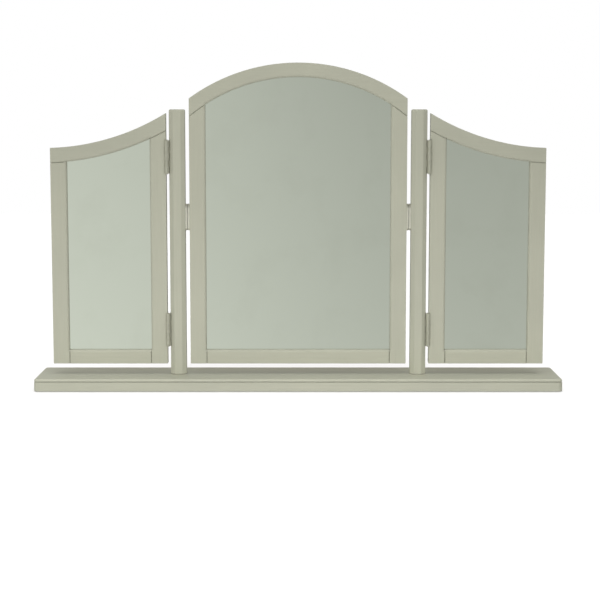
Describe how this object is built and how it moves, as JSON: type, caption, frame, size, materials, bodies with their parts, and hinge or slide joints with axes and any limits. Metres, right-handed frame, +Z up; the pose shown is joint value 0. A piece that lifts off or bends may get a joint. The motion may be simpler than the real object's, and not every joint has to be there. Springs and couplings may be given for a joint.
{
  "type": "dressing table mirror",
  "caption": "Free-standing dressing table mirror: an arched centre mirror tilts between posts on a moulded base, and a wing mirror with a swept top is hinged to each post.",
  "frame": {"origin": "centre of the footprint, on the surface that the mirror stands on", "axes": "+X to the right for someone who looks into the mirror, -Y towards them, +Z up"},
  "size_m": [1, 0.16, 0.618],
  "materials": {
    "sage_paint": "satin sage grey paint",
    "silvered_glass": "silvered float glass with a slight green cast",
    "back_board": "bare hardboard",
    "satin_nickel": "satin nickel plate",
    "plain_steel": "zinc plated",
    "nylon": "moulded nylon",
    "felt": "pressed felt"
  },
  "bodies": {
    "stand": {"base_board": "sage_paint", "pad_front_left": "felt", "pad_front_middle": "felt", "pad_front_right": "felt", "pad_rear_left": "felt", "pad_rear_middle": "felt", "pad_rear_right": "felt", "left_post": "sage_paint", "left_post_screw_front": "plain_steel", "left_post_screw_rear": "plain_steel", "left_swivel_post_plate": "satin_nickel", "left_swivel_post_screw_upper": "satin_nickel", "left_upper_hinge_post_leaf": "satin_nickel", "left_upper_hinge_pin": "satin_nickel", "left_swivel_post_screw_lower": "satin_nickel", "left_lower_hinge_post_leaf": "satin_nickel", "left_lower_hinge_pin": "satin_nickel", "right_post": "sage_paint", "right_post_screw_front": "plain_steel", "right_post_screw_rear": "plain_steel", "right_swivel_post_plate": "satin_nickel", "right_swivel_post_screw_upper": "satin_nickel", "right_upper_hinge_post_leaf": "satin_nickel", "right_upper_hinge_pin": "satin_nickel", "right_swivel_post_screw_lower": "satin_nickel", "right_lower_hinge_post_leaf": "satin_nickel", "right_lower_hinge_pin": "satin_nickel"},
    "centre_mirror": {"centre_left_stile": "sage_paint", "left_swivel_frame_plate": "satin_nickel", "left_pivot_pin": "plain_steel", "left_friction_washer": "nylon", "left_swivel_frame_screw_upper": "satin_nickel", "left_swivel_frame_screw_lower": "satin_nickel", "centre_right_stile": "sage_paint", "right_swivel_frame_plate": "satin_nickel", "right_pivot_pin": "plain_steel", "right_friction_washer": "nylon", "right_swivel_frame_screw_upper": "satin_nickel", "right_swivel_frame_screw_lower": "satin_nickel", "centre_arch_rail": "sage_paint", "centre_bottom_rail": "sage_paint", "centre_mirror_glass": "silvered_glass", "centre_back_panel": "back_board"},
    "left_wing": {"left_upper_hinge_wing_leaf": "satin_nickel", "left_lower_hinge_wing_leaf": "satin_nickel", "left_wing_top_rail": "sage_paint", "left_wing_bottom_rail": "sage_paint", "left_wing_inner_stile": "sage_paint", "left_wing_outer_stile": "sage_paint", "left_wing_glass": "silvered_glass", "left_wing_back_panel": "back_board"},
    "right_wing": {"right_upper_hinge_wing_leaf": "satin_nickel", "right_lower_hinge_wing_leaf": "satin_nickel", "right_wing_top_rail": "sage_paint", "right_wing_bottom_rail": "sage_paint", "right_wing_inner_stile": "sage_paint", "right_wing_outer_stile": "sage_paint", "right_wing_glass": "silvered_glass", "right_wing_back_panel": "back_board"}
  },
  "joints": [
    {"name": "centre_tilt", "type": "hinge", "parent": "stand", "child": "centre_mirror", "pos_m": [0, 0, 0.3265], "axis": [1, 0, 0], "range_deg": [-25, 25]},
    {"name": "left_wing_fold", "type": "hinge", "parent": "stand", "child": "left_wing", "pos_m": [-0.2494, -0.0125, 0.276], "axis": [0, 0, 1], "range_deg": [-10, 105]},
    {"name": "right_wing_fold", "type": "hinge", "parent": "stand", "child": "right_wing", "pos_m": [0.2494, -0.0125, 0.276], "axis": [0, 0, -1], "range_deg": [-10, 105]}
  ]
}
